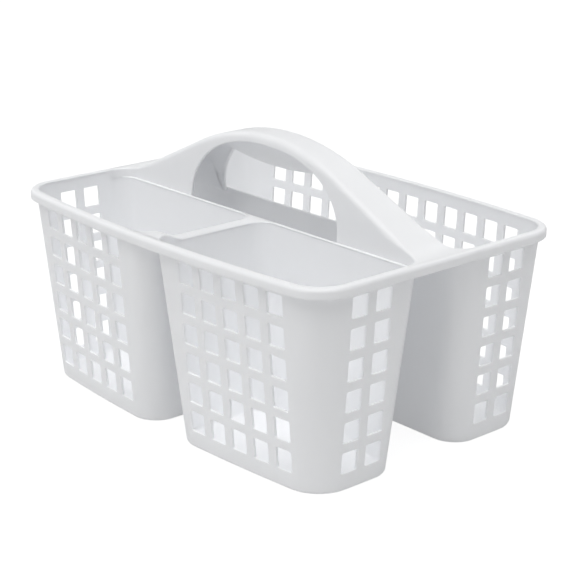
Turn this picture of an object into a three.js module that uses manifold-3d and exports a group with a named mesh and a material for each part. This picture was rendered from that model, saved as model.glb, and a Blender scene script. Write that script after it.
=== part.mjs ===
// Shower caddy: a carrying tote moulded in one shot of white polypropylene.
// Two bins stand side by side at the front and one long bin stands behind them.  All three hang from
// one lipped rim, and an arched handle runs lengthwise over the gap between the front and rear bins.
// Every node below is one region of that moulding: a window panel, a solid wall, a rounded corner,
// a floor, a stretch of rim or a member of the handle.
//
// Millimetres.  +X runs along the length, +Y from the front bins to the rear bin, +Z up.
// The origin is on the ground, under the middle of the rim.

import * as THREE from 'three';
import { mergeVertices } from 'three/addons/utils/BufferGeometryUtils.js';
import Module from 'manifold-3d';

const wasm = await Module();
wasm.setup();

// ---------------------------------------------------------------- driving dimensions

const RIM_LENGTH = 322;          // over the lip, along X
const RIM_DEPTH = 234;           // over the lip, along Y, measured at the middle of the bowed sides
const RIM_TOP = 140.4;           // ground to the top of the rim
const HANDLE_RISE = 50.6;        // rim top to the crown of the handle

const DRAFT = Math.tan(THREE.MathUtils.degToRad(4.2));   // every wall leans by this moulding draft
const BOW_RADIUS = 1250;         // the long front and rear walls are bowed outwards in plan
const WALL = 2;                  // thickness of every bin wall
const FLOOR = 2.2;               // thickness of the bin floors
const FLOOR_EDGE = 1.5;          // how far the foot of a bin is chamfered in
const GAP = 0.3;                 // clearance between two neighbouring nodes

const LIP_OVERHANG = 4;          // how far the rim stands out from the walls
const LIP_HEIGHT = 7.2;          // height of the turned-down lip
const LIP_THICKNESS = 1.8;
const PLATE = 2.2;               // thickness of the rim's top, the decks and the handle's strap

const LEDGE_DROP = 6;            // the inner walls and the divider stop this far below the rim
const HANDLE_SLOT = 31.8;        // gap between the front bins and the rear bin at the rim
const DIVIDER_SLOT = 6;          // gap between the two front bins at the rim
const OUTER_CORNER_TOP = 24;     // vertical corners on the outside of the caddy
const OUTER_CORNER_FLOOR = 26;
const SLOT_CORNER_TOP = 14;      // vertical corners that face the slots between the bins
const SLOT_CORNER_FLOOR = 19;

const WINDOW_WIDTH = 13;
const WINDOW_HEIGHT = 14.3;
const COLUMN_PITCH = 19.9;
const ROW_PITCH = 20.7;
const TOP_ROW_DROP = 17;         // rim top down to the middle of the top row of windows
const PLAIN_FOOT = 12;           // least height of plain wall under the lowest row of windows
const CORNER_REACH = 6;          // how far the end columns may reach into the round corners
const PANEL_EDGE = 2.3;          // plain strip that a window panel keeps outside its last window

const DECK_LENGTH = 10.5;        // flat deck from the inside of a short wall to the handle's foot
const ARCH_RADIUS = 170;         // round middle of the arch, straight below it down to the feet
const FLANGE = 3;                // thickness of the handle's front and rear flanges
const FLANGE_LAP = 2.4;          // how far a flange reaches down behind the wall that it rises from
const FLANGE_SETBACK = 3.5;      // foot of the strap to the end of a flange
const OPENING_HALF_WIDTH = 76.5; // finger opening, cut through both flanges down to the ledge
const OPENING_CROWN = 7;         // top of the finger opening up to the crown of the handle
const OPENING_POWER = 2.25;      // 2 would be an ellipse, more is squarer
const WEB = 2;                   // stiffening web along the middle of the handle
const WEB_DEPTH = 23.9;          // crown of the handle down to the lowest point of the web
const WEB_BELLY_RADIUS = 280;
const WEB_HALF_LENGTH = 62;

const ARC_STEPS = 6;             // facets in a quarter-round corner
const BOW_STEPS = 6;             // facets along a bowed wall
const ARCH_STEPS = 16;           // facets in the round part of the handle
const OPENING_STEPS = 18;
const FAR = 400;                 // reaches past the whole caddy, for cutting blocks

const PLASTIC = { color: 0xf2f3f3, roughness: 0.42, metalness: 0 };

// ---------------------------------------------------------------- sizes worked out from the above

const HANDLE_TOP = RIM_TOP + HANDLE_RISE;
const HANDLE_SPAN = RIM_LENGTH - 2 * (LIP_OVERHANG + WALL + DECK_LENGTH);
const PLATE_BOTTOM = RIM_TOP - PLATE;
const WALL_TOP = PLATE_BOTTOM - GAP;
const LEDGE_TOP = RIM_TOP - LEDGE_DROP;
const DIVIDER_WALL_TOP = LEDGE_TOP - PLATE - GAP;
const WALL_FOOT = FLOOR + GAP;
const FLANGE_HALF_LENGTH = HANDLE_SPAN / 2 - FLANGE_SETBACK;
const OPENING_HEIGHT = HANDLE_TOP - LEDGE_TOP - OPENING_CROWN;

const leanIn = (z) => DRAFT * (RIM_TOP - z);
const wallX = (z) => RIM_LENGTH / 2 - LIP_OVERHANG - leanIn(z);
const wallY = (z) => RIM_DEPTH / 2 - LIP_OVERHANG - leanIn(z);
const slotY = (z) => HANDLE_SLOT / 2 + leanIn(z);
const slotX = (z) => DIVIDER_SLOT / 2 + leanIn(z);
const blend = (z, top, floor) => top + (floor - top) * (RIM_TOP - z) / RIM_TOP;
const outerCorner = (z) => blend(z, OUTER_CORNER_TOP, OUTER_CORNER_FLOOR);
const slotCorner = (z) => blend(z, SLOT_CORNER_TOP, SLOT_CORNER_FLOOR);

// The window columns count out from the middle of the caddy.  As many columns and rows are cut as the
// walls have room for at their feet.
const lastCentre = wallX(0) - outerCorner(0) + CORNER_REACH - WINDOW_WIDTH / 2;
const firstCentre = slotX(0) + slotCorner(0) - CORNER_REACH + WINDOW_WIDTH / 2;
const LAST_COLUMN = Math.floor(lastCentre / COLUMN_PITCH);
const FIRST_FRONT_COLUMN = Math.ceil(firstCentre / COLUMN_PITCH);
const ROWS = 1 + Math.floor((RIM_TOP - TOP_ROW_DROP - WINDOW_HEIGHT / 2 - PLAIN_FOOT) / ROW_PITCH);

// The pair of window columns in a short wall is centred between the slot and the bowed wall.
const bowSag = wallX(RIM_TOP) ** 2 / (2 * BOW_RADIUS);
const SIDE_WINDOWS_Y = (slotY(0) + wallY(0) - bowSag) / 2;

const PANEL_X_OUT = LAST_COLUMN * COLUMN_PITCH + WINDOW_WIDTH / 2 + PANEL_EDGE;
const PANEL_X_IN = FIRST_FRONT_COLUMN * COLUMN_PITCH - WINDOW_WIDTH / 2 - PANEL_EDGE;
const PANEL_Y_HALF = COLUMN_PITCH / 2 + WINDOW_WIDTH / 2 + PANEL_EDGE;
const PANEL_Y_NEAR = SIDE_WINDOWS_Y - PANEL_Y_HALF;
const PANEL_Y_FAR = SIDE_WINDOWS_Y + PANEL_Y_HALF;

// ---------------------------------------------------------------- solids

function solidOf(geometry) {
  const bare = geometry.clone();
  bare.deleteAttribute('normal');
  bare.deleteAttribute('uv');
  const merged = mergeVertices(bare, 1e-4);
  return new wasm.Manifold(new wasm.Mesh({
    numProp: 3,
    vertProperties: new Float32Array(merged.attributes.position.array),
    triVerts: new Uint32Array(merged.index.array),
  }));
}

function geometryOf(solid) {
  const mesh = solid.getMesh();
  const geometry = new THREE.BufferGeometry();
  geometry.setAttribute('position', new THREE.BufferAttribute(new Float32Array(mesh.vertProperties), 3));
  geometry.setIndex(new THREE.BufferAttribute(new Uint32Array(mesh.triVerts), 1));
  const flat = geometry.toNonIndexed();
  flat.computeVertexNormals();
  return flat;
}

// A block between two corners, given as [x, y, z].
function block(low, high) {
  const size = high.map((value, axis) => value - low[axis]);
  const geometry = new THREE.BoxGeometry(...size);
  geometry.translate(...low.map((value, axis) => value + size[axis] / 2));
  return solidOf(geometry);
}

// A prism whose outline changes from one height to the other; both outlines have the same points in
// the same order.  The outline at the lower height is extruded and its upper copy is then moved.
function leaningPrism(outlineAt, zLow, zHigh) {
  const low = outlineAt(zLow);
  const high = outlineAt(zHigh);
  const geometry = new THREE.ExtrudeGeometry(new THREE.Shape(low), {
    depth: zHigh - zLow,
    bevelEnabled: false,
  });
  const position = geometry.attributes.position;
  const corner = new THREE.Vector2();
  for (let i = 0; i < position.count; i += 1) {
    const isHigh = position.getZ(i) > (zHigh - zLow) / 2;
    corner.set(position.getX(i), position.getY(i));
    if (isHigh) corner.copy(high[nearestIndex(low, corner)]);
    position.setXYZ(i, corner.x, corner.y, isHigh ? zHigh : zLow);
  }
  return solidOf(geometry);
}

function nearestIndex(points, target) {
  let best = 0;
  points.forEach((point, index) => {
    if (point.distanceToSquared(target) < points[best].distanceToSquared(target)) best = index;
  });
  return best;
}

// A profile drawn in the XZ plane, given as [x, z], and extruded along Y from yLow to yHigh.
function lengthwisePlate(profile, yLow, yHigh) {
  const shape = new THREE.Shape(profile.map(([x, z]) => new THREE.Vector2(x, z)));
  const geometry = new THREE.ExtrudeGeometry(shape, { depth: yHigh - yLow, bevelEnabled: false });
  geometry.rotateX(Math.PI / 2);
  geometry.translate(0, yHigh, 0);
  return solidOf(geometry);
}

// ---------------------------------------------------------------- outlines in plan

function arc(centre, radius, from, to) {
  return Array.from({ length: ARC_STEPS + 1 }, (_, i) => {
    const angle = from + (to - from) * i / ARC_STEPS;
    return new THREE.Vector2(centre.x + radius * Math.cos(angle), centre.y + radius * Math.sin(angle));
  });
}

// Where a corner of this radius touches the bowed wall y = yMiddle + x * x / (2 * BOW_RADIUS), for a
// corner whose centre is at centreX.
function bowedTangent(centreX, radius, yMiddle) {
  let slope = Math.atan(centreX / BOW_RADIUS);
  for (let pass = 0; pass < 4; pass += 1) {
    slope = Math.atan((centreX + radius * Math.sin(slope)) / BOW_RADIUS);
  }
  const x = centreX + radius * Math.sin(slope);
  const y = yMiddle + x * x / (2 * BOW_RADIUS);
  return { x, slope, centre: new THREE.Vector2(centreX, y + radius * Math.cos(slope)) };
}

// The bowed front edge with its two round corners, from the left wall to the right wall.
function bowedFront(left, right, yMiddle, leftRadius, rightRadius) {
  const start = bowedTangent(left + leftRadius, leftRadius, yMiddle);
  const end = bowedTangent(right - rightRadius, rightRadius, yMiddle);
  const edge = Array.from({ length: BOW_STEPS - 1 }, (_, i) => {
    const x = start.x + (end.x - start.x) * (i + 1) / BOW_STEPS;
    return new THREE.Vector2(x, yMiddle + x * x / (2 * BOW_RADIUS));
  });
  return [
    ...arc(start.centre, leftRadius, Math.PI, 1.5 * Math.PI + start.slope),
    ...edge,
    ...arc(end.centre, rightRadius, end.slope - Math.PI / 2, 0),
  ];
}

// The outside of one bin at height z, moved inwards by inset.  A bin is drawn with its bowed wall at
// the front and is then mirrored into place.
function binOutline(bin, z, inset) {
  const right = wallX(z) - inset;
  const left = bin.isFront ? slotX(z) + inset : -right;
  const leftFrontRadius = (bin.isFront ? slotCorner(z) : outerCorner(z)) - inset;
  const slotRadius = slotCorner(z) - inset;
  const back = -slotY(z) - inset;
  const points = [
    ...bowedFront(left, right, inset - wallY(z), leftFrontRadius, outerCorner(z) - inset),
    ...arc(new THREE.Vector2(right - slotRadius, back - slotRadius), slotRadius, 0, Math.PI / 2),
    ...arc(new THREE.Vector2(left + slotRadius, back - slotRadius), slotRadius, Math.PI / 2, Math.PI),
  ];
  return mirrored(points, bin.sideX, bin.sideY);
}

function mirrored(points, sideX, sideY) {
  const placed = points.map((point) => new THREE.Vector2(point.x * sideX, point.y * sideY));
  return sideX * sideY < 0 ? placed.reverse() : placed;
}

// The outside of all the walls at rim level, moved outwards by offset.
function rimOutline(offset) {
  const right = wallX(RIM_TOP) + offset;
  const radius = outerCorner(RIM_TOP) + offset;
  const front = bowedFront(-right, right, -wallY(RIM_TOP) - offset, radius, radius);
  return [...front, ...mirrored(front, -1, -1)];
}

const rimPrism = (offset, zLow, zHigh) => leaningPrism(() => rimOutline(offset), zLow, zHigh);

// ---------------------------------------------------------------- bins

const bins = [
  { name: 'front_left_bin', isFront: true, sideX: -1, sideY: 1 },
  { name: 'front_right_bin', isFront: true, sideX: 1, sideY: 1 },
  { name: 'rear_bin', isFront: false, sideX: 1, sideY: -1 },
];

function range(first, last) {
  return Array.from({ length: last - first + 1 }, (_, i) => first + i);
}

// A block given for a bin that is drawn as binOutline draws it, mirrored into place.
function binBlock(bin, xLow, xHigh, yLow, yHigh, zLow, zHigh) {
  const xs = [xLow * bin.sideX, xHigh * bin.sideX].sort((a, b) => a - b);
  const ys = [yLow * bin.sideY, yHigh * bin.sideY].sort((a, b) => a - b);
  return block([xs[0], ys[0], zLow], [xs[1], ys[1], zHigh]);
}

function windowAt(centreX, centreY, halfX, halfY, row) {
  const z = RIM_TOP - TOP_ROW_DROP - row * ROW_PITCH;
  const halfHeight = WINDOW_HEIGHT / 2;
  return block([centreX - halfX, centreY - halfY, z - halfHeight],
    [centreX + halfX, centreY + halfY, z + halfHeight]);
}

// All the windows of a bin: the columns of its long outer wall and two columns in each short wall.
function windowsOf(bin) {
  const longColumns = bin.isFront
    ? range(FIRST_FRONT_COLUMN, LAST_COLUMN)
    : range(-LAST_COLUMN, LAST_COLUMN);
  const shortWalls = bin.isFront ? [bin.sideX] : [-1, 1];
  const middleY = -(wallY(RIM_TOP) + wallY(0)) / 2 * bin.sideY;
  const reach = wallX(RIM_TOP) - wallX(0) + LIP_OVERHANG + WALL;
  const cuts = [];
  for (const row of range(0, ROWS - 1)) {
    for (const column of longColumns) {
      const x = column * COLUMN_PITCH * bin.sideX;
      cuts.push(windowAt(x, middleY, WINDOW_WIDTH / 2, reach, row));
    }
    for (const side of shortWalls) {
      for (const step of [-0.5, 0.5]) {
        const y = -(SIDE_WINDOWS_Y + step * COLUMN_PITCH) * bin.sideY;
        cuts.push(windowAt(side * (wallX(0) + wallX(RIM_TOP)) / 2, y, reach, WINDOW_WIDTH / 2, row));
      }
    }
  }
  return wasm.Manifold.union(cuts);
}

function binWalls(bin) {
  const outside = leaningPrism((z) => binOutline(bin, z, 0), WALL_FOOT, RIM_TOP);
  const inside = leaningPrism((z) => binOutline(bin, z, WALL), 0, RIM_TOP + WALL);
  return outside.subtract(inside).subtract(windowsOf(bin));
}

// The floor fills the whole outline and is chamfered in at the ground.
function binFloor(bin) {
  return leaningPrism((z) => binOutline(bin, z, FLOOR_EDGE * (FLOOR - z) / FLOOR), 0, FLOOR);
}

// Regions of a bin's walls, drawn with the bowed wall at the front: [name, x range, y range, top].
function binRegions(bin) {
  const half = GAP / 2;
  const inner = bin.isFront ? PANEL_X_IN : -PANEL_X_OUT;
  const innermost = bin.isFront ? 0 : -FAR;
  const divider = bin.isFront ? DIVIDER_WALL_TOP : WALL_TOP;
  const middle = [inner + half, PANEL_X_OUT - half];
  const outer = [PANEL_X_OUT + half, FAR];
  const innerEnd = [innermost, inner - half];
  const bowed = [-FAR, -PANEL_Y_FAR - half];
  const lattice = [-PANEL_Y_FAR + half, -PANEL_Y_NEAR - half];
  const slot = [-PANEL_Y_NEAR + half, 0];
  return bin.isFront ? [
    ['front_lattice', middle, bowed, WALL_TOP],
    ['side_lattice', outer, lattice, WALL_TOP],
    ['divider_wall', innerEnd, lattice, divider],
    ['back_wall', middle, slot, LEDGE_TOP],
    ['corner_front_outer', outer, bowed, WALL_TOP],
    ['corner_front_inner', innerEnd, bowed, divider],
    ['corner_back_outer', outer, slot, WALL_TOP],
    ['corner_back_inner', innerEnd, slot, divider],
  ] : [
    ['rear_lattice', middle, bowed, WALL_TOP],
    ['right_lattice', outer, lattice, WALL_TOP],
    ['left_lattice', innerEnd, lattice, WALL_TOP],
    ['front_wall', middle, slot, LEDGE_TOP],
    ['corner_rear_right', outer, bowed, WALL_TOP],
    ['corner_rear_left', innerEnd, bowed, WALL_TOP],
    ['corner_front_right', outer, slot, WALL_TOP],
    ['corner_front_left', innerEnd, slot, WALL_TOP],
  ];
}

function addBin(group, bin) {
  addNode(group, `${bin.name}_floor`, binFloor(bin));
  const walls = binWalls(bin);
  for (const [region, xs, ys, top] of binRegions(bin)) {
    addNode(group, `${bin.name}_${region}`, walls.intersect(binBlock(bin, ...xs, ...ys, 0, top)));
  }
}

// The space inside a bin's walls, for cutting the plates that lie around its mouth.
function mouth(bin, zLow, zHigh) {
  return leaningPrism((z) => binOutline(bin, z, WALL), zLow, zHigh);
}

// ---------------------------------------------------------------- rim, decks and divider

// The rim is a flat top with a turned-down lip round the outside of the walls.
function rimRing() {
  const full = rimPrism(LIP_OVERHANG, RIM_TOP - LIP_HEIGHT, RIM_TOP);
  const underLip = rimPrism(LIP_OVERHANG - LIP_THICKNESS, 0, PLATE_BOTTOM);
  const insideWalls = rimPrism(-WALL, 0, RIM_TOP + WALL);
  return full.subtract(underLip).subtract(insideWalls);
}

function addRim(group) {
  const ring = rimRing();
  const half = GAP / 2;
  const spans = (edge, names) => [
    [names[0], [-FAR, -edge - half]],
    [names[1], [-edge + half, edge - half]],
    [names[2], [edge + half, FAR]],
  ];
  for (const [sideX, xs] of spans(PANEL_X_OUT, ['left', '', 'right'])) {
    for (const [sideY, ys] of spans(PANEL_Y_FAR, ['front', '', 'rear'])) {
      if (sideX || sideY) {
        const corner = sideX && sideY ? 'corner_' : '';
        const name = `rim_${corner}${[sideY, sideX].filter(Boolean).join('_')}`;
        addNode(group, name, ring.intersect(block([xs[0], ys[0], 0], [xs[1], ys[1], FAR])));
      }
    }
  }
}

// The flat deck at each foot of the handle fills the rim between the front and rear mouths.
function addDecks(group) {
  const inside = rimPrism(-WALL - GAP, PLATE_BOTTOM, RIM_TOP);
  const reachY = slotY(RIM_TOP) + WALL + SLOT_CORNER_TOP;
  for (const [side, sign] of [['left', -1], ['right', 1]]) {
    const xs = [sign * (HANDLE_SPAN / 2 + GAP), sign * FAR].sort((a, b) => a - b);
    const place = block([xs[0], -reachY, 0], [xs[1], reachY, FAR]);
    const cut = bins.map((bin) => mouth(bin, PLATE_BOTTOM - WALL, RIM_TOP + WALL));
    addNode(group, `handle_deck_${side}`, inside.intersect(place).subtract(wasm.Manifold.union(cut)));
  }
}

// The bar over the slot between the two front bins, spreading at both ends round the bins' corners.
function addDivider(group) {
  const zLow = LEDGE_TOP - PLATE;
  const inside = rimPrism(-WALL - GAP, zLow, LEDGE_TOP);
  const halfX = PANEL_X_IN - GAP / 2;
  const place = block([-halfX, -FAR, 0], [halfX, -slotY(LEDGE_TOP), FAR]);
  const cut = bins.map((bin) => mouth(bin, zLow - WALL, LEDGE_TOP + WALL));
  addNode(group, 'divider_bar', inside.intersect(place).subtract(wasm.Manifold.union(cut)));
}

// ---------------------------------------------------------------- handle

// The arch's line as [x, z], from the left foot to the right foot, lowered by drop.
function archLine(drop) {
  const centreZ = HANDLE_TOP - ARCH_RADIUS;
  const footX = HANDLE_SPAN / 2;
  const footZ = RIM_TOP - centreZ;
  const tangent = Math.atan2(footX, footZ) - Math.acos(ARCH_RADIUS / Math.hypot(footX, footZ));
  const round = range(0, ARCH_STEPS).map((step) => {
    const angle = tangent * (2 * step / ARCH_STEPS - 1);
    return [(ARCH_RADIUS - drop) * Math.sin(angle), centreZ + (ARCH_RADIUS - drop) * Math.cos(angle)];
  });
  const footDrop = drop / Math.cos(tangent);
  return [[-footX, RIM_TOP - footDrop], ...round, [footX, RIM_TOP - footDrop]];
}

// The slot between the bins carried on upwards, as a wedge that the handle is built in.
function slotWedge(inset) {
  const outlineAt = (z) => {
    const y = slotY(z) - inset;
    return [[-FAR, -y], [FAR, -y], [FAR, y], [-FAR, y]].map(([px, py]) => new THREE.Vector2(px, py));
  };
  return leaningPrism(outlineAt, 0, HANDLE_TOP + PLATE);
}

function addStrap(group) {
  const profile = [...archLine(0), ...archLine(PLATE).reverse()];
  const strap = lengthwisePlate(profile, -FAR, FAR);
  addNode(group, 'handle_strap', strap.intersect(slotWedge(0)));
}

function fingerOpening() {
  const points = range(0, OPENING_STEPS).map((step) => {
    const angle = Math.PI * step / OPENING_STEPS;
    const along = Math.abs(Math.cos(angle)) ** (2 / OPENING_POWER) * Math.sign(Math.cos(angle));
    const up = Math.abs(Math.sin(angle)) ** (2 / OPENING_POWER);
    return [OPENING_HALF_WIDTH * along, LEDGE_TOP + OPENING_HEIGHT * up];
  });
  points.push([-OPENING_HALF_WIDTH, 0], [OPENING_HALF_WIDTH, 0]);
  return lengthwisePlate(points, -FAR, FAR);
}

function addFlanges(group) {
  const underStrap = archLine(PLATE + GAP).filter(([x]) => Math.abs(x) < FLANGE_HALF_LENGTH);
  const [first, second] = archLine(PLATE + GAP);
  const slope = (second[1] - first[1]) / (second[0] - first[0]);
  const endZ = first[1] + slope * (HANDLE_SPAN / 2 - FLANGE_HALF_LENGTH);
  const bottom = LEDGE_TOP - FLANGE_LAP;
  const profile = [
    [-FLANGE_HALF_LENGTH, bottom],
    [-FLANGE_HALF_LENGTH, endZ],
    ...underStrap,
    [FLANGE_HALF_LENGTH, endZ],
    [FLANGE_HALF_LENGTH, bottom],
  ];
  const skins = slotWedge(GAP).subtract(slotWedge(GAP + FLANGE));
  const bothSides = lengthwisePlate(profile, -FAR, FAR).subtract(fingerOpening()).intersect(skins);
  addNode(group, 'handle_front_flange', bothSides.intersect(block([-FAR, -FAR, 0], [FAR, 0, FAR])));
  addNode(group, 'handle_rear_flange', bothSides.intersect(block([-FAR, 0, 0], [FAR, FAR, FAR])));
}

function addWeb(group) {
  const top = archLine(PLATE + GAP).filter(([x]) => Math.abs(x) < WEB_HALF_LENGTH);
  const endZ = HANDLE_TOP - ARCH_RADIUS + Math.sqrt((ARCH_RADIUS - PLATE - GAP) ** 2 - WEB_HALF_LENGTH ** 2);
  const belly = range(0, ARCH_STEPS).map((step) => {
    const x = WEB_HALF_LENGTH * (1 - 2 * step / ARCH_STEPS);
    return [x, HANDLE_TOP - WEB_DEPTH + x * x / (2 * WEB_BELLY_RADIUS)];
  });
  const profile = [[-WEB_HALF_LENGTH, endZ], ...top, [WEB_HALF_LENGTH, endZ], ...belly];
  addNode(group, 'handle_web', lengthwisePlate(profile, -WEB / 2, WEB / 2));
}

// ---------------------------------------------------------------- the caddy

function addNode(group, name, solid) {
  const mesh = new THREE.Mesh(geometryOf(solid), new THREE.MeshStandardMaterial({ ...PLASTIC }));
  mesh.name = name;
  group.add(mesh);
}

function buildCaddy() {
  const caddy = new THREE.Group();
  for (const bin of bins) addBin(caddy, bin);
  addRim(caddy);
  addDivider(caddy);
  addDecks(caddy);
  addStrap(caddy);
  addFlanges(caddy);
  addWeb(caddy);
  return caddy;
}

const group = buildCaddy();

export default group;
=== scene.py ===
"""The looks of the shower caddy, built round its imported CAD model.

The caddy is one moulding of white polypropylene.  The CAD nodes are its regions, with a small gap
between neighbours and with square edges.  Here each bin, the rim, the divider and the handle is one
smooth shell instead, with rounded edges, in the place that the CAD nodes hold.

Lengths are millimetres until a piece is made, and a piece is in metres.  +X runs along the caddy,
+Y from the two front bins to the rear bin, and +Z is up from the ground.
"""

import math
from functools import lru_cache

import bmesh
import bpy
import numpy as np
from mathutils import Euler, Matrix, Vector


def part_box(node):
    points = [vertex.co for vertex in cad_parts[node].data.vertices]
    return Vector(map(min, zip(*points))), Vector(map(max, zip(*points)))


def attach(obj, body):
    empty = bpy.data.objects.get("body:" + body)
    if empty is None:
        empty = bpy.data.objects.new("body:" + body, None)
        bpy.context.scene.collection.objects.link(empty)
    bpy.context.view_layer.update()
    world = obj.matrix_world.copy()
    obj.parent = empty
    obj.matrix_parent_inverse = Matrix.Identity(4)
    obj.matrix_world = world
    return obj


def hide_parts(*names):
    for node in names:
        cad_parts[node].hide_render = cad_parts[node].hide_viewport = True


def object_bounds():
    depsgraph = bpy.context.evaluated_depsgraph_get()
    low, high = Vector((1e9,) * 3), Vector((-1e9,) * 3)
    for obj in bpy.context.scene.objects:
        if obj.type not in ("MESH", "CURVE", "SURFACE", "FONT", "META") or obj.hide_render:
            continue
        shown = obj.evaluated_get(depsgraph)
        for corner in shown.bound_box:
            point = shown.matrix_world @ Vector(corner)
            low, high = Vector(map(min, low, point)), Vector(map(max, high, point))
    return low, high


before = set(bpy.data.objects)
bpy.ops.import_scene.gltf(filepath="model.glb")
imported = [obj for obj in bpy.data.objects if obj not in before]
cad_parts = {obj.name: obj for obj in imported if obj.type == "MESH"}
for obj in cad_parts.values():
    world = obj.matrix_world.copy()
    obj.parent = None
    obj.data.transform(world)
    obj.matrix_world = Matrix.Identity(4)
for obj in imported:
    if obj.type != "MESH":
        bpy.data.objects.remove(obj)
cad_low, cad_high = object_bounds()

MM = 0.001
PLASTIC_SLOT = "white_polypropylene"

# ---------------------------------------------------------------- sizes that the frame gives

RIM_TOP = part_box("rim_front")[1].z / MM
LIP_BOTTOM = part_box("rim_front")[0].z / MM
RIM_HALF_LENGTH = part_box("rim_right")[1].x / MM
RIM_HALF_DEPTH = -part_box("rim_front")[0].y / MM
LEDGE_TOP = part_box("divider_bar")[1].z / MM
HANDLE_TOP = cad_high.z / MM
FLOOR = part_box("rear_bin_floor")[1].z / MM

# ---------------------------------------------------------------- sizes of the moulding

DRAFT = math.tan(math.radians(4.2))   # every wall leans by this
BOW_RADIUS = 1250.0                   # front and rear walls are bowed outwards in plan
WALL = 2.0
LIP_OVERHANG = 4.0
LIP_THICKNESS = 1.8
PLATE = 2.2                           # rim top, decks and strap
HANDLE_SLOT = 31.8                    # between the front bins and the rear bin at the rim
DIVIDER_SLOT = 6.0                    # between the two front bins at the rim
OUTER_CORNER = (24.0, 26.0)           # vertical corner radii, at the rim and at the ground
SLOT_CORNER = (14.0, 19.0)

WINDOW = (13.0, 14.3)
PITCH = (19.9, 20.7)
ROWS = 6
TOP_ROW_DROP = 17.0
FRONT_COLUMNS = (2, 6)
REAR_COLUMNS = (-6, 6)
SIDE_WINDOWS_Y = 59.5
WINDOW_CORNER = 0.8
WINDOW_EDGE = 0.35                    # rounding of a window's edges, inside and out

FOOT_OUTSIDE = 2.5                    # rounding between the walls and the floor
FOOT_INSIDE = 2.0
LEDGE_ROUND = (0.8, 1.2)              # on the slot side and on the bin side
RIM_ROUND_INSIDE = 1.2
RIM_ROUND_OUTSIDE = 2.8
LIP_ROUND = 1.3
PROUD = 0.02                          # how far one shell covers the shell that it joins

ARCH_RADIUS = 170.0
HANDLE_FOOT_X = 144.5
FOOT_BLEND = 3.5
FLANGE = 3.0
FLANGE_LAP = 2.4
FLANGE_CORNER = 14.0
OPENING_HALF_WIDTH = 76.5
OPENING_CROWN = 7.0                   # top of the finger opening up to the crown
OPENING_POWER = 2.25
OPENING_ROUND = (0.7, 2.2)            # on the outer and on the inner side of a flange
SHOULDER = 4.5                        # rounding between the strap and its flanges
DECK_ROUND = 1.2
WEB = 2.0
WEB_DEPTH = 23.9
WEB_BELLY_RADIUS = 280.0
WEB_HALF_LENGTH = 62.0


def lean(z):
    return DRAFT * (RIM_TOP - z)


def wall_x(z):
    return RIM_HALF_LENGTH - LIP_OVERHANG - lean(z)


def wall_y(z):
    return RIM_HALF_DEPTH - LIP_OVERHANG - lean(z)


def slot_y(z):
    return HANDLE_SLOT / 2 + lean(z)


def slot_x(z):
    return DIVIDER_SLOT / 2 + lean(z)


def corner_radius(corner, z):
    top, ground = corner
    return top + (ground - top) * (RIM_TOP - z) / RIM_TOP


# ---------------------------------------------------------------- meshes


class Shell:
    """Vertices and faces in millimetres, gathered by lofting and capping."""

    def __init__(self, side_x=1, side_y=1):
        self.points = []
        self.faces = []
        self.sides = (side_x, side_y)

    def ring(self, points):
        first = len(self.points)
        self.points.extend((x * self.sides[0], y * self.sides[1], z) for x, y, z in points)
        return list(range(first, len(self.points)))

    def band(self, a, b):
        for i in range(len(a)):
            j = (i + 1) % len(a)
            self.faces.append((a[i], a[j], b[j], b[i]))

    def loft(self, rings):
        """Closed rings of vertices, each joined to the next by a band of faces."""
        made = [self.ring(points) for points in rings]
        for a, b in zip(made, made[1:]):
            self.band(a, b)
        return made

    def cap(self, ring):
        self.faces.append(tuple(ring))


MERGE = 1e-6                # metres
SHARP_ANGLE = math.radians(62)


def piece_from(shell, name, nodes, material):
    """Makes the shell one clean object that stands for the CAD nodes."""
    mesh = bpy.data.meshes.new(name)
    mesh.from_pydata([Vector(p) * MM for p in shell.points], [], shell.faces)
    work = bmesh.new()
    work.from_mesh(mesh)
    bmesh.ops.remove_doubles(work, verts=work.verts, dist=MERGE)
    bmesh.ops.dissolve_degenerate(work, edges=work.edges, dist=MERGE)
    bmesh.ops.triangulate(work, faces=[f for f in work.faces if len(f.verts) > 4])
    bmesh.ops.recalc_face_normals(work, faces=work.faces)
    for face in work.faces:
        face.smooth = True
    for edge in work.edges:
        edge.smooth = len(edge.link_faces) == 2 and edge.calc_face_angle() < SHARP_ANGLE
    open_edges = sum(len(edge.link_faces) != 2 for edge in work.edges)
    volume = work.calc_volume() * 1e6
    print(f"{name}: {len(work.verts)} vertices, {open_edges} open edges, {volume:.1f} cm3")
    work.to_mesh(mesh)
    work.free()
    mesh.materials.append(material)
    piece = bpy.data.objects.new(name, mesh)
    bpy.context.scene.collection.objects.link(piece)
    normals = piece.modifiers.new("even normals", "WEIGHTED_NORMAL")
    normals.keep_sharp = True
    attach(piece, "root")
    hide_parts(*nodes)


# ---------------------------------------------------------------- curves in plan


def arc(centre, radius, start, end, steps=24):
    angles = np.linspace(start, end, steps + 1)
    return np.column_stack((centre[0] + radius * np.cos(angles), centre[1] + radius * np.sin(angles)))


def bow_corner(centre_x, radius, y_middle):
    """Where a corner of this radius touches the bowed wall: (x, slope, centre)."""
    slope = 0.0
    for _ in range(5):
        slope = math.atan((centre_x + radius * math.sin(slope)) / BOW_RADIUS)
    x = centre_x + radius * math.sin(slope)
    y = y_middle + x * x / (2 * BOW_RADIUS)
    return x, slope, (centre_x, y + radius * math.cos(slope))


def bow(x_start, x_end, y_middle, steps=60):
    xs = np.linspace(x_start, x_end, steps + 1)
    return np.column_stack((xs, y_middle + xs * xs / (2 * BOW_RADIUS)))


HALF_TURN = math.pi
QUARTER = math.pi / 2


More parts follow.
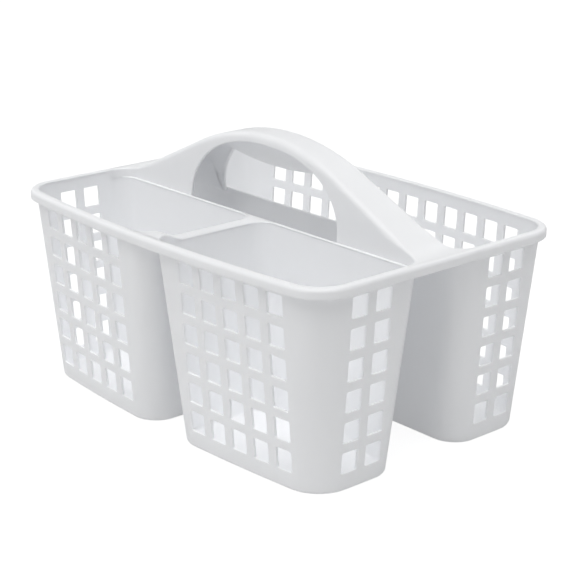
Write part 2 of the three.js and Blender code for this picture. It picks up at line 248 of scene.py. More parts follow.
@lru_cache(maxsize=None)
def bin_stretches(is_front, z, inset):
    """The outline of a bin at height z, moved inwards by inset, as nine stretches in order.

    A bin is drawn with its bowed wall at the front.  The outline starts at the middle of the back
    wall and goes round by the left wall, the bowed wall and the right wall.
    """
    right = wall_x(z) - inset
    left = slot_x(z) + inset if is_front else -right
    outer = corner_radius(OUTER_CORNER, z) - inset
    inner = corner_radius(SLOT_CORNER, z) - inset
    left_front = inner if is_front else outer
    back = -slot_y(z) - inset
    y_middle = inset - wall_y(z)
    start_x, start_slope, start = bow_corner(left + left_front, left_front, y_middle)
    end_x, end_slope, end = bow_corner(right - outer, outer, y_middle)
    middle = (left + right) / 2
    return (
        np.array([(middle, back), (left + inner, back)]),
        arc((left + inner, back - inner), inner, QUARTER, HALF_TURN),
        np.array([(left, back - inner), (left, start[1])]),
        arc(start, left_front, HALF_TURN, HALF_TURN + QUARTER + start_slope),
        bow(start_x, end_x, y_middle),
        arc(end, outer, end_slope - QUARTER, 0.0),
        np.array([(right, end[1]), (right, back - inner)]),
        arc((right - inner, back - inner), inner, 0.0, QUARTER),
        np.array([(right - inner, back), (middle, back)]),
    )


# the nine stretches of a bin's outline, in order
(BACK_LEFT, CORNER_BACK_LEFT, LEFT, CORNER_FRONT_LEFT, FRONT,
 CORNER_FRONT_RIGHT, RIGHT, CORNER_BACK_RIGHT, BACK_RIGHT) = range(9)


@lru_cache(maxsize=None)
def bin_path(is_front, z, inset):
    """The outline as points, the length up to each point, and the length where each stretch starts."""
    stretches = bin_stretches(is_front, z, inset)
    points = np.vstack(stretches)
    steps = np.hypot(*np.diff(points, axis=0).T)
    lengths = np.concatenate(([0.0], np.cumsum(steps)))
    counts = np.cumsum([0] + [len(s) for s in stretches[:-1]])
    return points, lengths, lengths[counts], counts


def length_at(is_front, wall, value, z, inset):
    """How far along the outline a wall has this x (front wall) or this y (left or right wall)."""
    points, lengths, _, counts = bin_path(is_front, z, inset)
    first = counts[wall - 1]
    last = counts[wall + 2]
    axis = 0 if wall == FRONT else 1
    values = points[first:last, axis]
    if wall == LEFT:
        return np.interp(-value, -values, lengths[first:last])
    return np.interp(value, values, lengths[first:last])


def point_at(is_front, length, z, inset):
    points, lengths, _, _ = bin_path(is_front, z, inset)
    return np.interp(length, lengths, points[:, 0]), np.interp(length, lengths, points[:, 1])


# ---------------------------------------------------------------- lattice walls


CELL_MARK = 2.2             # spacing of a cell's vertices near its corners


def cell_marks(half_cell):
    """Where the edge of a lattice cell has its vertices, from its middle."""
    near = half_cell - CELL_MARK
    far = half_cell - 2 * CELL_MARK
    return [-half_cell, -near, -far, 0.0, far, near, half_cell]


def cell_edge(half_width, half_height):
    """The vertices round the edge of a cell, from the middle of its right side, counter-clockwise."""
    xs = cell_marks(half_width)
    zs = cell_marks(half_height)
    right = [(half_width, z) for z in zs]
    left = [(-half_width, z) for z in reversed(zs)]
    top = [(x, half_height) for x in reversed(xs)]
    bottom = [(x, -half_height) for x in xs]
    return right[3:] + top[1:] + left[1:] + bottom[1:] + right[1:3]


def window_edge(offset):
    """The window's outline moved outwards by offset, with as many vertices as the cell's edge."""
    half_width = WINDOW[0] / 2 + offset
    half_height = WINDOW[1] / 2 + offset
    radius = WINDOW_CORNER + offset
    points = [(half_width, 0.0)]
    corners = [(1, 1, 0.0), (-1, 1, QUARTER), (-1, -1, HALF_TURN), (1, -1, HALF_TURN + QUARTER)]
    middles = [(0.0, half_height), (-half_width, 0.0), (0.0, -half_height)]
    for index, (side_x, side_z, start) in enumerate(corners):
        centre = (side_x * (half_width - radius), side_z * (half_height - radius))
        points.extend(map(tuple, arc(centre, radius, start, start + QUARTER, 4)))
        if index < len(middles):
            points.append(middles[index])
    return points


def window_rings():
    """(outline, inset) pairs from the outer skin, through the window, to the inner skin."""
    edge = cell_edge(PITCH[0] / 2, PITCH[1] / 2)
    turn = WINDOW_EDGE * (1 - math.sqrt(0.5))
    return [
        (edge, 0.0),
        (window_edge(WINDOW_EDGE), 0.0),
        (window_edge(turn), turn),
        (window_edge(0.0), WINDOW_EDGE),
        (window_edge(0.0), WALL - WINDOW_EDGE),
        (window_edge(turn), WALL - turn),
        (window_edge(WINDOW_EDGE), WALL),
        (edge, WALL),
    ]


WINDOW_RINGS = window_rings()
ROW_CENTRES = [RIM_TOP - TOP_ROW_DROP - row * PITCH[1] for row in range(ROWS)]


def wall_point(is_front, wall, value, z, inset):
    z = round(z, 5)
    inset = round(inset, 5)
    x, y = point_at(is_front, length_at(is_front, wall, value, z, inset), z, inset)
    return x, y, z


def add_cell(shell, is_front, wall, centre, centre_z):
    rings = []
    for outline, inset in WINDOW_RINGS:
        rings.append([wall_point(is_front, wall, centre + u, centre_z + w, inset) for u, w in outline])
    shell.loft(rings)


# ---------------------------------------------------------------- bins

SIDE_CENTRES = [-SIDE_WINDOWS_Y - PITCH[0] / 2, -SIDE_WINDOWS_Y + PITCH[0] / 2]


def column_centres(first, last):
    return [column * PITCH[0] for column in range(first, last + 1)]


def bin_lattices(is_front):
    """(wall, centres of its window columns) in the order of the outline."""
    front = (FRONT, column_centres(*(FRONT_COLUMNS if is_front else REAR_COLUMNS)))
    right = (RIGHT, SIDE_CENTRES)
    if is_front:
        return [front, right]
    return [(LEFT, SIDE_CENTRES[::-1]), front, right]


def lattice_marks(wall, centres):
    direction = -1 if wall == LEFT else 1
    marks = [centres[0] - direction * PITCH[0] / 2]
    for centre in centres:
        marks.extend(centre + direction * mark for mark in cell_marks(PITCH[0] / 2)[1:])
    return marks


CURVE_STEP = 1.8            # spacing of vertices round a corner and along a flat wall
FLAT_STEP = 9.0
CORNER_MARGIN = 5.0
MID_HEIGHT = 70.0
SAMPLE_STEP = 0.2           # fine steps that the spacing is summed over


def plain_fractions(is_front, start, end):
    """Fractions of the way along a plain stretch: close together round the corners."""
    _, _, starts, _ = bin_path(is_front, MID_HEIGHT, 0.0)
    curved = [CORNER_BACK_LEFT, CORNER_FRONT_LEFT, CORNER_FRONT_RIGHT, CORNER_BACK_RIGHT]
    lengths = np.arange(start, end, SAMPLE_STEP)
    near = np.zeros(len(lengths), bool)
    for corner in curved:
        after_start = lengths > starts[corner] - CORNER_MARGIN
        near |= after_start & (lengths < starts[corner + 1] + CORNER_MARGIN)
    spread = np.cumsum(np.where(near, 1 / CURVE_STEP, 1 / FLAT_STEP)) * SAMPLE_STEP
    density = np.concatenate(([0.0], spread))
    lengths = np.append(lengths, end)
    count = math.ceil(density[-1])
    marks = np.interp(np.linspace(0, density[-1], count + 1), density, lengths)
    return (marks - start) / (end - start)


@lru_cache(maxsize=None)
def bin_stations(is_front):
    """The outline's stations: plain stretches as fractions, lattice walls as values of x or y."""
    ends = bin_path(is_front, MID_HEIGHT, 0.0)[1][-1]
    stations = []
    reached = 0.0
    for wall, centres in bin_lattices(is_front):
        marks = lattice_marks(wall, centres)
        first = float(length_at(is_front, wall, marks[0], MID_HEIGHT, 0.0))
        last = float(length_at(is_front, wall, marks[-1], MID_HEIGHT, 0.0))
        stations.append(("plain", tuple(plain_fractions(is_front, reached, first))))
        stations.append((wall, tuple(marks)))
        reached = last
    stations.append(("plain", tuple(plain_fractions(is_front, reached, ends))))
    return stations


@lru_cache(maxsize=None)
def station_points(is_front, z, inset):
    """The point of every station at height z, and whether the stretch after it is a lattice."""
    stations = bin_stations(is_front)
    total = bin_path(is_front, z, inset)[1][-1]
    lengths = []
    lattice = []
    for index, (kind, marks) in enumerate(stations):
        if kind == "plain":
            before = stations[index - 1] if index else None
            after = stations[index + 1] if index + 1 < len(stations) else None
            start = length_at(is_front, before[0], before[1][-1], z, inset) if before else 0.0
            end = length_at(is_front, after[0], after[1][0], z, inset) if after else total
            run = [start + fraction * (end - start) for fraction in marks]
        else:
            run = [length_at(is_front, kind, mark, z, inset) for mark in marks]
        lengths.extend(run[:-1])
        lattice.extend([kind != "plain"] * (len(run) - 1))
    xs, ys = point_at(is_front, np.array(lengths), z, inset)
    return [(x, y, z) for x, y in zip(xs, ys)], lattice, lengths


def low_stretches(is_front):
    """For each stretch between stations, whether it ends at the ledge instead of in the rim."""
    _, _, lengths = station_points(is_front, round(RIM_TOP, 5), 0.0)
    _, all_lengths, starts, _ = bin_path(is_front, round(RIM_TOP, 5), 0.0)
    ends = list(starts[1:]) + [all_lengths[-1]]
    low_walls = [BACK_LEFT, CORNER_BACK_LEFT, CORNER_BACK_RIGHT, BACK_RIGHT]
    if is_front:
        low_walls += [LEFT, CORNER_FRONT_LEFT]
    following = lengths[1:] + [all_lengths[-1]]
    middles = [(a + b) / 2 for a, b in zip(lengths, following)]
    return [any(starts[w] < m < ends[w] for w in low_walls) for m in middles]


FOOT_STEPS = 6


def quarter_round(radius, steps, start_inset, top, towards=1):
    """(inset, z) points of a rounded top edge, from the side up to the top."""
    angles = [QUARTER * (i + 1) / steps for i in range(steps)]
    return [
        (start_inset + towards * radius * (1 - math.cos(a)), top - radius * (1 - math.sin(a)))
        for a in angles
    ]


def ledge_profile():
    """(inset, z) points over the top of a wall that ends at the ledge, from outside to inside."""
    outside, inside = LEDGE_ROUND
    rising = quarter_round(outside, 5, 0.0, LEDGE_TOP)
    falling = quarter_round(inside, 4, WALL, LEDGE_TOP, -1)[::-1]
    return rising + falling + [(WALL, LEDGE_TOP - inside)]


def foot_profile(radius, inset, floor):
    """(inset, z) points from a wall round into the floor."""
    angles = [QUARTER * i / FOOT_STEPS for i in range(FOOT_STEPS + 1)]
    return [(inset + radius * (1 - math.cos(a)), floor + radius * (1 - math.sin(a))) for a in angles]


def add_bin_walls(shell, is_front):
    half_row = PITCH[1] / 2
    rows = [centre + mark for centre in ROW_CENTRES for mark in cell_marks(half_row)[:0:-1]]
    levels = rows + [ROW_CENTRES[-1] - half_row]
    low = low_stretches(is_front)
    count = len(low)
    touches_low = [low[i] or low[i - 1] for i in range(count)]
    lattice = station_points(is_front, round(levels[0], 5), 0.0)[1]
    skins = {}
    for inset in (0.0, WALL):
        top_low = station_points(is_front, round(LEDGE_TOP - LEDGE_ROUND[0], 5), inset)[0]
        rings = []
        for level, z in enumerate(levels):
            ring = station_points(is_front, round(z, 5), inset)[0]
            if level == 0:
                ring = [top_low[i] if touches_low[i] else ring[i] for i in range(count)]
            rings.append(shell.ring(ring))
        for upper, lower in zip(rings, rings[1:]):
            for i in range(count):
                if not lattice[i]:
                    j = (i + 1) % count
                    shell.faces.append((upper[i], upper[j], lower[j], lower[i]))
        radius, floor = (FOOT_OUTSIDE, 0.0) if inset == 0.0 else (FOOT_INSIDE, FLOOR)
        foot = [rings[-1]]
        for foot_inset, z in foot_profile(radius, inset, floor):
            foot.append(shell.ring(station_points(is_front, round(z, 5), round(foot_inset, 5))[0]))
        for a, b in zip(foot, foot[1:]):
            shell.band(a, b)
        shell.cap(foot[-1])
        rim = shell.ring(station_points(is_front, round(RIM_TOP - RIM_ROUND_INSIDE, 5), inset)[0])
        skins[inset] = (rim, rings[0])
    add_bin_tops(shell, is_front, skins, low)


def add_bin_tops(shell, is_front, skins, low):
    """Closes the walls: high stretches end inside the rim, low ones are rounded over at the ledge."""
    outer_rim, outer = skins[0.0]
    inner_rim, inner = skins[WALL]
    count = len(low)
    profile = [
        shell.ring(station_points(is_front, round(z, 5), round(inset, 5))[0])
        for inset, z in ledge_profile()
    ]
    over = [outer] + profile + [inner]
    for i in range(count):
        j = (i + 1) % count
        if low[i]:
            for a, b in zip(over, over[1:]):
                shell.faces.append((a[i], a[j], b[j], b[i]))
        else:
            for a, b in ((outer, outer_rim), (outer_rim, inner_rim), (inner_rim, inner)):
                shell.faces.append((a[i], a[j], b[j], b[i]))
        if low[i] != low[i - 1]:
            shell.cap([outer_rim[i], inner_rim[i]] + [ring[i] for ring in reversed(over)])


def make_bin(name, is_front, side_x, side_y, nodes, material):
    shell = Shell(side_x, side_y)
    add_bin_walls(shell, is_front)
    for wall, centres in bin_lattices(is_front):
        for centre in centres:
            for centre_z in ROW_CENTRES:
                add_cell(shell, is_front, wall, centre, centre_z)
    used = {index for face in shell.faces for index in face}
    keep = {old: new for new, old in enumerate(sorted(used))}
    shell.points = [shell.points[old] for old in sorted(used)]
    shell.faces = [tuple(keep[index] for index in face) for face in shell.faces]
    piece_from(shell, name, nodes, material)


# ---------------------------------------------------------------- rim


RIM_SIDE_STEPS = 12
RIM_TOP_MARK = 1.0          # a line of vertices along the flat top, out from the wall's outside


def rim_outline(offset, z):
    """The outside of all the walls at the rim, moved outwards by offset."""
    right = wall_x(RIM_TOP) + offset
    radius = OUTER_CORNER[0] + offset
    y_middle = -wall_y(RIM_TOP) - offset
    start_x, start_slope, start = bow_corner(radius - right, radius, y_middle)
    end_x, end_slope, end = bow_corner(right - radius, radius, y_middle)
    side_ys = np.linspace(end[1], -end[1], RIM_SIDE_STEPS + 1)[1:-1]
    side = np.column_stack((np.full(len(side_ys), right), side_ys))
    half = np.vstack((
        arc(start, radius, HALF_TURN, HALF_TURN + QUARTER + start_slope),
        bow(start_x, end_x, y_middle)[1:-1],
        arc(end, radius, end_slope - QUARTER, 0.0),
        side,
    ))
    return [(x, y, z) for x, y in np.vstack((half, -half))]


def rim_profile():
    """(offset, z) points round the section of the rim, from the foot of its inner face."""
    plate_bottom = RIM_TOP - PLATE
    inner_z = RIM_TOP - RIM_ROUND_INSIDE
    inner = -WALL - lean(inner_z) - PROUD
    outer = LIP_OVERHANG
    lip_inside = outer - LIP_THICKNESS
    points = [(inner, plate_bottom), (inner, inner_z)]
    points += [(-i, z) for i, z in quarter_round(RIM_ROUND_INSIDE, 5, -inner, RIM_TOP, -1)]
    points += [(RIM_TOP_MARK, RIM_TOP)]
    points += [(-i, z) for i, z in quarter_round(RIM_ROUND_OUTSIDE, 8, -outer, RIM_TOP)[::-1]]
    points += [(outer, RIM_TOP - RIM_ROUND_OUTSIDE), (outer, LIP_BOTTOM + LIP_ROUND)]
    points += [
        (outer - LIP_ROUND * (1 - math.cos(a)), LIP_BOTTOM + LIP_ROUND * (1 - math.sin(a)))
        for a in np.linspace(0, QUARTER, 5)[1:]
    ]
    points += [(lip_inside, LIP_BOTTOM), (lip_inside, plate_bottom), (-WALL / 2, plate_bottom)]
    return points


def make_rim(material):
    shell = Shell()
    rings = shell.loft([rim_outline(offset, z) for offset, z in rim_profile()])
    shell.band(rings[-1], rings[0])
    nodes = [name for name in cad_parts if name.startswith("rim_")]
    piece_from(shell, "rim", nodes, material)


# ---------------------------------------------------------------- divider bar

BAR_ROUND = 1.5
BAR_DEPTH = 4.0
BAR_RISE_START = -84.0      # the bar climbs from the ledge to the rim between these distances
BAR_RISE_END = 7.0          # behind the inside of the front wall
BAR_STEPS = 23
BAR_CORNER_STEPS = 18


def smooth_step(value):
    value = min(max(value, 0.0), 1.0)
    return value * value * (3 - 2 * value)


def corner_rows(centre, radius, start, end):
    """(x, y, normal) round a corner of the bar."""
    rows = []
    for angle in np.linspace(start, end, BAR_CORNER_STEPS + 1):
        normal = (math.cos(angle), math.sin(angle))
        rows.append((centre[0] + radius * normal[0], centre[1] + radius * normal[1], normal))
    return rows


def bar_edge(z):
    """(x, y, normal) along the bar's right edge, from the ledge to the front rim."""
    inset = WALL - PROUD
    radius = corner_radius(SLOT_CORNER, z) - inset
    left = slot_x(z) + inset
    back = -slot_y(z) - inset
    _, slope, front = bow_corner(left + radius, radius, inset - wall_y(z))
    start = (left + radius, back - radius)
    rows = corner_rows(start, radius, QUARTER, HALF_TURN)
    for y in np.linspace(start[1], front[1], BAR_STEPS + 1)[1:-1]:
        rows.append((left, y, (-1.0, 0.0)))
    return rows + corner_rows(front, radius, HALF_TURN, HALF_TURN + QUARTER + slope)


def bar_top(y, front_y):
    rise = RIM_TOP + PROUD - LEDGE_TOP
    risen = (BAR_RISE_START - y) / (BAR_RISE_START - front_y - BAR_RISE_END)
    return LEDGE_TOP + PROUD + (rise - PROUD) * smooth_step(risen)


def make_divider_bar(material):
    shell = Shell()
    edge_high = bar_edge(LEDGE_TOP)
    edge_low = bar_edge(LEDGE_TOP - BAR_DEPTH)
    front_y = edge_high[-1][1]
    rings = []
    for (x, y, normal), (low_x, low_y, _) in zip(edge_high, edge_low):
        top = bar_top(y, front_y)
        half = [(low_x, low_y, LEDGE_TOP - BAR_DEPTH), (x, y, top - BAR_ROUND)]
        for offset, z in quarter_round(BAR_ROUND, 5, 0.0, top):
            half.append((x + normal[0] * offset, y + normal[1] * offset, z))
        rings.append(half + [(-px, py, pz) for px, py, pz in reversed(half)])
    made = shell.loft(rings)
    shell.cap(made[0])
    shell.cap(made[-1])
    piece_from(shell, "divider_bar_shell", ["divider_bar"], material)


# ---------------------------------------------------------------- handle


def arch_height(x):
    """The top of the handle over x, running out smoothly into the flat decks."""
    centre_z = HANDLE_TOP - ARCH_RADIUS
    foot_z = RIM_TOP - centre_z
    turn = math.atan2(HANDLE_FOOT_X, foot_z) - math.acos(ARCH_RADIUS / math.hypot(HANDLE_FOOT_X, foot_z))
    x = abs(x)
    if x < ARCH_RADIUS * math.sin(turn):
        return centre_z + math.sqrt(ARCH_RADIUS ** 2 - x * x)
    rise = (HANDLE_FOOT_X - x) * math.tan(turn)
    if rise < -FOOT_BLEND:
        return RIM_TOP
    if rise < FOOT_BLEND:
        return RIM_TOP + (rise + FOOT_BLEND) ** 2 / (4 * FOOT_BLEND)
    return RIM_TOP + rise


def opening_point(angle):
    """(x, z, inward x, inward z) on the edge of the finger opening; the normal points into the flange."""
    power = 2 / OPENING_POWER
    cos, sin = math.cos(angle), math.sin(angle)
    height = HANDLE_TOP - OPENING_CROWN - LEDGE_TOP
    x = OPENING_HALF_WIDTH * math.copysign(abs(cos) ** power, cos)
    z = LEDGE_TOP + height * abs(sin) ** power
    normal = Vector((
        math.copysign(abs(cos) ** (2 - power), cos) / OPENING_HALF_WIDTH,
        abs(sin) ** (2 - power) / height,
    )).normalized()
    return x, z, normal.x, normal.y


OPENING_STEPS = 72
LEG_STEPS = 18
DECK_STEPS = 14
FLANGE_STEPS = 8
LEG_TOP_X = 92.0            # top end of the line that rises from the foot of the opening
SHOULDER_STEPS = 6
SHOULDER_FADE_START = 120.0
SHOULDER_FADE_LENGTH = 25.0
INNER_SHOULDER_LEAST = 0.6
STRAP_FRACTIONS = (0.35, 0.7, 1.0)      # rows of vertices from the shoulder to the strap's middle
DECK_LAP = 1.0              # how far the decks run into the rim


def handle_columns():
    """The right half of the handle's columns, from the crown to the rim.

    A column is (x, z, normal x, normal z) at the flange's lower edge, x at the shoulder, the way
    along the leg from 0 to 1, and the turn round the corner to the short wall.
    """
    columns = []
    for i in range(OPENING_STEPS // 2 + 1):
        angle = QUARTER * (1 - i / (OPENING_STEPS // 2))
        columns.append((*opening_point(angle), LEG_TOP_X * math.cos(angle), 0.0, 0.0))
    bottom = LEDGE_TOP - FLANGE_LAP
    foot = OPENING_HALF_WIDTH
    columns.append((foot, LEDGE_TOP - FLANGE_LAP / 2, 1.0, 0.0, LEG_TOP_X, 0.0, 0.0))
    columns.append((foot, bottom, math.sqrt(0.5), math.sqrt(0.5), LEG_TOP_X, 0.0, 0.0))
    for i in range(1, LEG_STEPS + 1):
        columns.append((foot, bottom, 0.0, 1.0, LEG_TOP_X, i / LEG_STEPS, 0.0))
    for i in range(1, DECK_STEPS + 1):
        columns.append((foot, bottom, 0.0, 1.0, LEG_TOP_X, 1.0, QUARTER * i / DECK_STEPS))
    return columns


def flange_point(x, z, way, turn, depth):
    """A point of the front flange: x is where way is 0, depth is measured into the handle."""
    corner_x = wall_x(z) - WALL - FLANGE_CORNER - PROUD
    x = x + way * (corner_x - x)
    y = -slot_y(z)
    if turn == 0.0:
        return x, y + depth, z
    radius = FLANGE_CORNER + depth
    return (corner_x + radius * math.sin(turn), y - FLANGE_CORNER + radius * math.cos(turn), z)


def shoulder_radius(x):
    """The rounding of the shoulder, which gets smaller down the leg and along the deck."""
    reach = smooth_step((abs(x) - SHOULDER_FADE_START) / SHOULDER_FADE_LENGTH)
    return SHOULDER + (DECK_ROUND - SHOULDER) * reach


def blend_points(a, b, t):
    return tuple(p + (q - p) * t for p, q in zip(a, b))


def handle_skin(column, depth, round_edge, sink, shoulder):
    """One skin of a column, from the flange's lower edge to the strap's middle."""
    x, z, normal_x, normal_z, top_x, way, turn = column
    x_edge = x + normal_x * round_edge
    z_edge = z + normal_z * round_edge
    corner_x = flange_point(top_x, RIM_TOP, way, turn, depth)[0]
    top = arch_height(corner_x) + PROUD * (turn > 0.0) - sink
    shoulder_z = top - shoulder
    points = []
    for i in range(FLANGE_STEPS + 1):
        t = i / FLANGE_STEPS
        height = z_edge + (shoulder_z - z_edge) * t
        points.append(flange_point(x_edge + (top_x - x_edge) * t, height, way, turn, depth))
    peak = flange_point(top_x, top, way, turn, depth)
    inward = flange_point(top_x, top, way, turn, depth + shoulder)
    side = points[-1]
    for i in range(1, SHOULDER_STEPS + 1):
        angle = QUARTER * i / SHOULDER_STEPS
        rise = 1 - math.sin(angle)
        run = 1 - math.cos(angle)
        points.append(tuple(p + (s - p) * rise + (q - p) * run for p, s, q in zip(peak, side, inward)))
    middle = (inward[0], 0.0, top)
    points.extend(blend_points(inward, middle, t) for t in STRAP_FRACTIONS)
    return points


def opening_edge(column):
    """The rounded edge of the flange, from the outer skin to the inner skin."""
    x, z, normal_x, normal_z, _, way, turn = column
    outer, inner = OPENING_ROUND
    points = []
    for angle in np.linspace(0, QUARTER, 4)[1:]:
        offset = outer * (1 - math.sin(angle))
        points.append((offset, outer * (1 - math.cos(angle))))
    for angle in np.linspace(QUARTER, 0, 7)[:-1]:
        offset = inner * (1 - math.sin(angle))
        points.append((offset, FLANGE - inner * (1 - math.cos(angle))))
    return [
        flange_point(x + normal_x * offset, z + normal_z * offset, way, turn, depth)
        for offset, depth in points
    ]


def handle_ring(column):
    """The front half of the handle's section, from the strap's underside round to its top."""
    x_top = flange_point(column[4], RIM_TOP, column[5], column[6], 0.0)[0]
    shoulder = shoulder_radius(x_top)
    inner_shoulder = max(shoulder - PLATE, INNER_SHOULDER_LEAST)
    outer = handle_skin(column, 0.0, OPENING_ROUND[0], 0.0, shoulder)
    inner = handle_skin(column, FLANGE, OPENING_ROUND[1], PLATE, inner_shoulder)
    return inner[::-1][:-1] + opening_edge(column)[::-1][1:] + outer


def make_handle(material):
    """Both flanges, the strap and the decks as one shell of closed rings along the handle."""
    shell = Shell()
    right = [handle_ring(column) for column in handle_columns()]
    last = right[-1]
    right.append([(x + DECK_LAP, y, z) for x, y, z in last])
    left = [[(-x, y, z) for x, y, z in ring] for ring in right[:0:-1]]
    rings = []
    for half in left + right:
        mirrored = [(x, -y, z) for x, y, z in reversed(half)]
        rings.append(half + mirrored[1:-1])
    made = shell.loft(rings)
    shell.cap(made[0])
    shell.cap(made[-1])
    nodes = ["handle_strap", "handle_front_flange", "handle_rear_flange"]
    nodes += ["handle_deck_left", "handle_deck_right"]
    piece_from(shell, "handle", nodes, material)


WEB_FLAT = 0.2              # what the roundings leave of the web's lower edge
WEB_STEPS = 32


def make_web(material):
    shell = Shell()
    rounding = (WEB - WEB_FLAT) / 2
    rings = []
    for x in np.linspace(-WEB_HALF_LENGTH, WEB_HALF_LENGTH, WEB_STEPS + 1):
        top = arch_height(x) - PLATE / 2
        bottom = HANDLE_TOP - WEB_DEPTH + x * x / (2 * WEB_BELLY_RADIUS)
        half = [(x, -WEB / 2, top), (x, -WEB / 2, bottom + rounding)]
        for angle in np.linspace(0, QUARTER, 5)[1:]:
            y = -WEB / 2 + rounding * (1 - math.cos(angle))
            half.append((x, y, bottom + rounding * (1 - math.sin(angle))))
        rings.append(half + [(px, -py, pz) for px, py, pz in reversed(half)])
    made = shell.loft(rings)
    shell.cap(made[0])
    shell.cap(made[-1])
    piece_from(shell, "handle_web_shell", ["handle_web"], material)


# ---------------------------------------------------------------- material

PLASTIC_IOR = 1.49
TRANSLUCENCY = 0.7
TRANSLUCENCY_DEPTH = 0.0015             # metres
CLOUD_SCALE = 18.0
CLOUD_DETAIL = 4.0
TONES = [(0.3, (0.935, 0.94, 0.95, 1)), (0.7, (0.95, 0.955, 0.965, 1))]
ROUGHNESS = (0.34, 0.44)
GRAIN_SCALE = 900.0
GRAIN_DETAIL = 2.0
GRAIN_STRENGTH = 0.05
GRAIN_DEPTH = 0.0003                    # metres


def plastic_material():
    """Satin white polypropylene: slightly translucent, with a faint mould grain."""
    material = bpy.data.materials.new(PLASTIC_SLOT)
    material.use_nodes = True
    nodes = material.node_tree.nodes
    links = material.node_tree.links
    shader = nodes["Principled BSDF"]
    shader.inputs["IOR"].default_value = PLASTIC_IOR
    shader.inputs["Subsurface Weight"].default_value = TRANSLUCENCY
    shader.inputs["Subsurface Radius"].default_value = (1.0, 1.0, 1.0)
    shader.inputs["Subsurface Scale"].default_value = TRANSLUCENCY_DEPTH

    place = nodes.new("ShaderNodeTexCoord")
    cloud = nodes.new("ShaderNodeTexNoise")
    cloud.inputs["Scale"].default_value = CLOUD_SCALE
    cloud.inputs["Detail"].default_value = CLOUD_DETAIL
    links.new(place.outputs["Object"], cloud.inputs["Vector"])
    tone = nodes.new("ShaderNodeValToRGB")
    for element, (position, colour) in zip(tone.color_ramp.elements, TONES):
        element.position = position
        element.color = colour
    links.new(cloud.outputs["Fac"], tone.inputs["Fac"])
    links.new(tone.outputs["Color"], shader.inputs["Base Color"])

    gloss = nodes.new("ShaderNodeMapRange")
    gloss.inputs["To Min"].default_value = ROUGHNESS[0]
    gloss.inputs["To Max"].default_value = ROUGHNESS[1]
    links.new(cloud.outputs["Fac"], gloss.inputs["Value"])
    links.new(gloss.outputs["Result"], shader.inputs["Roughness"])

    grain = nodes.new("ShaderNodeTexNoise")
    grain.inputs["Scale"].default_value = GRAIN_SCALE
    grain.inputs["Detail"].default_value = GRAIN_DETAIL
    links.new(place.outputs["Object"], grain.inputs["Vector"])
    bump = nodes.new("ShaderNodeBump")
    bump.inputs["Strength"].default_value = GRAIN_STRENGTH
    bump.inputs["Distance"].default_value = GRAIN_DEPTH
    links.new(grain.outputs["Fac"], bump.inputs["Height"])
    links.new(bump.outputs["Normal"], shader.inputs["Normal"])
    return material


# ---------------------------------------------------------------- studio

CAMERA_PLACE = (0.8028, -0.6894, 0.4364)
CAMERA_TILT = 18.56                     # degrees below the horizontal
CAMERA_TURN = 49.04
SENSOR_WIDTH = 36.0
LENS = 100.42
VIEW_END = 20.0

FLOOR_HALF_SIZE = 6.0
FLOOR_ROUGHNESS = 0.9
LIT_TONE = 0.6
LIT_GLOW = 0.15
SEEN_TONE = 0.25
SEEN_GLOW = 0.86

WORLD_COLOUR = (0.98, 1.0, 1.035, 1)
WORLD_STRENGTH = 0.3
AIM = (0, 0, 0.1)
SOFTBOX_SIZE = 1.4
SUN_SPREAD = 35                         # degrees across
SUNS = [                                # name, direction, strength
    ("overhead from the front", (0.0, 0.5, -1.0), 1.02),
    ("overhead from the right", (-0.35, 0.0, -1.0), 0.9),
]
SOFTBOXES = [                           # name, place, watts
    ("front left softbox", (-0.9, -1.5, 1.1), 3.0),
    ("back softbox", (-0.5, 1.9, 1.3), 5.6),
    ("left softbox", (-1.9, -0.1, 1.0), 3.0),
]
BOUNCES = 24
DIFFUSE_BOUNCES = 16
TRANSPARENT_BOUNCES = 8


def camera():
    data = bpy.data.cameras.new("camera")
    data.sensor_width = SENSOR_WIDTH
    data.lens = LENS
    data.clip_end = VIEW_END
    eye = bpy.data.objects.new("camera", data)
    eye.location = CAMERA_PLACE
    eye.rotation_euler = Euler((math.radians(90 - CAMERA_TILT), 0.0, math.radians(CAMERA_TURN)))
    bpy.context.scene.collection.objects.link(eye)
    bpy.context.scene.camera = eye


def set_matt(shader, tone, glow):
    shader.inputs["Base Color"].default_value = (tone, tone, tone, 1)
    shader.inputs["Roughness"].default_value = FLOOR_ROUGHNESS
    shader.inputs["Specular IOR Level"].default_value = 0.0
    shader.inputs["Emission Color"].default_value = (1, 1, 1, 1)
    shader.inputs["Emission Strength"].default_value = glow


def floor_material():
    """The pale studio floor.

    The floor that the camera sees is brighter than the floor that lights the caddy.  So it looks
    white, with a faint shadow, and doesn't wash out the underside.
    """
    material = bpy.data.materials.new("floor")
    material.use_nodes = True
    nodes = material.node_tree.nodes
    links = material.node_tree.links
    lit = nodes["Principled BSDF"]
    set_matt(lit, LIT_TONE, LIT_GLOW)
    seen = nodes.new("ShaderNodeBsdfPrincipled")
    set_matt(seen, SEEN_TONE, SEEN_GLOW)
    path = nodes.new("ShaderNodeLightPath")
    mix = nodes.new("ShaderNodeMixShader")
    links.new(path.outputs["Is Camera Ray"], mix.inputs["Fac"])
    links.new(lit.outputs["BSDF"], mix.inputs[1])
    links.new(seen.outputs["BSDF"], mix.inputs[2])
    links.new(mix.outputs["Shader"], nodes["Material Output"].inputs["Surface"])
    return material


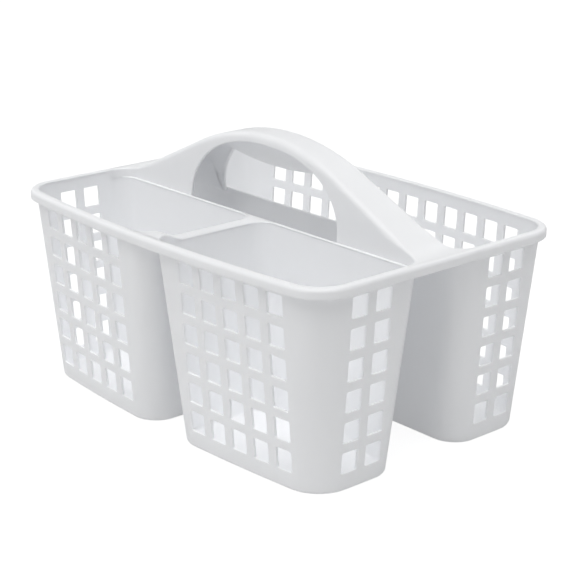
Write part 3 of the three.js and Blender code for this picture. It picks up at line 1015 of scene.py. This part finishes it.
def floor():
    mesh = bpy.data.meshes.new("floor")
    size = FLOOR_HALF_SIZE
    corners = [(-size, -size, 0), (size, -size, 0), (size, size, 0), (-size, size, 0)]
    mesh.from_pydata(corners, [], [(0, 1, 2, 3)])
    ground = bpy.data.objects.new("floor", mesh)
    bpy.context.scene.collection.objects.link(ground)
    mesh.materials.append(floor_material())


def light_paths():
    """A white bin needs many bounces before its inside is as bright as it should be."""
    cycles = bpy.context.scene.cycles
    cycles.max_bounces = BOUNCES
    cycles.diffuse_bounces = DIFFUSE_BOUNCES
    cycles.transparent_max_bounces = TRANSPARENT_BOUNCES


def add_lamp(name, data, direction):
    lamp = bpy.data.objects.new(name, data)
    lamp.rotation_euler = Vector(direction).to_track_quat("-Z", "Y").to_euler()
    bpy.context.scene.collection.objects.link(lamp)
    return lamp


def lights():
    bpy.context.scene.view_settings.view_transform = "Standard"
    world = bpy.data.worlds.new("studio")
    world.use_nodes = True
    background = world.node_tree.nodes["Background"]
    background.inputs["Color"].default_value = WORLD_COLOUR
    background.inputs["Strength"].default_value = WORLD_STRENGTH
    bpy.context.scene.world = world
    for name, direction, strength in SUNS:
        data = bpy.data.lights.new(name, "SUN")
        data.energy = strength
        data.angle = math.radians(SUN_SPREAD)
        add_lamp(name, data, direction)
    for name, place, watts in SOFTBOXES:
        data = bpy.data.lights.new(name, "AREA")
        data.shape = "DISK"
        data.size = SOFTBOX_SIZE
        data.energy = watts
        add_lamp(name, data, Vector(AIM) - Vector(place)).location = place


# ---------------------------------------------------------------- the caddy


def nodes_of(prefix):
    return [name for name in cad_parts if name.startswith(prefix)]


plastic = plastic_material()
make_bin("front_left_bin", True, -1, 1, nodes_of("front_left_bin_"), plastic)
make_bin("front_right_bin", True, 1, 1, nodes_of("front_right_bin_"), plastic)
make_bin("rear_bin", False, 1, -1, nodes_of("rear_bin_"), plastic)
make_rim(plastic)
make_divider_bar(plastic)
make_handle(plastic)
make_web(plastic)
camera()
floor()
light_paths()
lights()
